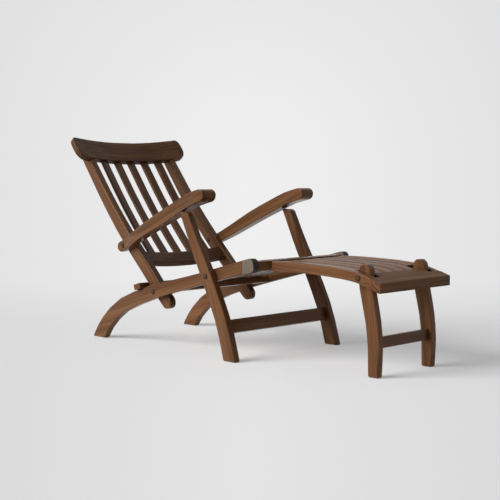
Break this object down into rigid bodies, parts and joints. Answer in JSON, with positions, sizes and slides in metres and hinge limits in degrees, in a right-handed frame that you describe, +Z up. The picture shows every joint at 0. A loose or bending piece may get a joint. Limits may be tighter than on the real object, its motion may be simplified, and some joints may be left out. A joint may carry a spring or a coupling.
{
  "type": "deck_chair",
  "caption": "Wooden steamer deck chair with a slatted seat, reclining slatted back, curved arms on crossed front legs, and a hinged slatted footrest on folding legs of its own",
  "frame": {"origin": "on the floor, under the middle of the chair's bounding box", "axes": "+X from the head rail to the foot end, +Y to the sitter's left, +Z up"},
  "size_m": [1.603, 0.6046, 0.8306],
  "materials": {
    "walnut": "satin varnish",
    "dark_steel": "dark oiled steel",
    "shoe_steel": "brushed grey steel"
  },
  "bodies": {
    "seat_frame": {"seat_rail_left": "walnut", "seat_rail_right": "walnut", "end_cap_left": "shoe_steel", "end_cap_right": "shoe_steel", "seat_front_rail": "walnut", "seat_rear_rail": "walnut", "seat_slat_1": "walnut", "seat_slat_2": "walnut", "seat_slat_3": "walnut", "seat_slat_4": "walnut", "seat_slat_5": "walnut", "seat_slat_6": "walnut", "leg_pivot_bolt_left": "dark_steel", "leg_pivot_bolt_right": "dark_steel", "back_pivot_bolt_left": "dark_steel", "back_pivot_bolt_right": "dark_steel", "hinge_seat_leaf_left": "dark_steel", "hinge_seat_leaf_right": "dark_steel"},
    "front_legs": {"front_leg_left": "walnut", "front_leg_right": "walnut", "front_stretcher": "walnut"},
    "backrest": {"back_stile_left": "walnut", "back_stile_right": "walnut", "head_rail": "walnut", "back_lower_rail": "walnut", "back_slat_1": "walnut", "back_slat_2": "walnut", "back_slat_3": "walnut", "back_slat_4": "walnut", "back_slat_5": "walnut", "stop_bar": "walnut", "arm_pivot_bolt_left": "dark_steel", "arm_pivot_bolt_right": "dark_steel"},
    "arm_left": {"arm_left": "walnut"},
    "arm_right": {"arm_right": "walnut"},
    "footrest": {"footrest_rail_left": "walnut", "footrest_rail_right": "walnut", "footrest_rear_rail": "walnut", "footrest_mid_rail": "walnut", "footrest_end_board": "walnut", "footrest_slat_1": "walnut", "footrest_slat_2": "walnut", "footrest_slat_3": "walnut", "footrest_slat_4": "walnut", "footrest_slat_5": "walnut", "footrest_slat_6": "walnut", "footrest_leg_bolt_left": "dark_steel", "footrest_leg_bolt_right": "dark_steel", "hinge_footrest_leaf_left": "dark_steel", "hinge_footrest_leaf_right": "dark_steel"},
    "footrest_legs": {"footrest_leg_left": "walnut", "footrest_leg_right": "walnut", "footrest_leg_stretcher": "walnut"}
  },
  "joints": [
    {"name": "back_fold", "type": "hinge", "parent": "seat_frame", "child": "backrest", "pos_m": [-0.26439, 0, 0.21732], "axis": [0, 1, 0], "range_deg": [0, 100]},
    {"name": "front_leg_fold", "type": "hinge", "parent": "seat_frame", "child": "front_legs", "pos_m": [0.07001, 0, 0.30204], "axis": [0, 1, 0], "range_deg": [0, 88]},
    {"name": "arm_left_fold", "type": "hinge", "parent": "backrest", "child": "arm_left", "pos_m": [-0.45604, 0, 0.39054], "axis": [0, 1, 0], "range_deg": [-92, 0]},
    {"name": "arm_right_fold", "type": "hinge", "parent": "backrest", "child": "arm_right", "pos_m": [-0.45604, 0, 0.39054], "axis": [0, 1, 0], "range_deg": [-92, 0]},
    {"name": "footrest_hinge", "type": "hinge", "parent": "seat_frame", "child": "footrest", "pos_m": [0.29951, 0, 0.34], "axis": [0, 1, 0], "range_deg": [0, 66]},
    {"name": "footrest_leg_fold", "type": "hinge", "parent": "footrest", "child": "footrest_legs", "pos_m": [0.70917, 0, 0.33234], "axis": [0, 1, 0], "range_deg": [0, 65]}
  ],
  "couplings": [
    {"joint": "front_leg_fold", "follows": "back_fold", "ratio": 0.88},
    {"joint": "arm_left_fold", "follows": "back_fold", "ratio": -0.92},
    {"joint": "arm_right_fold", "follows": "back_fold", "ratio": -0.92}
  ]
}
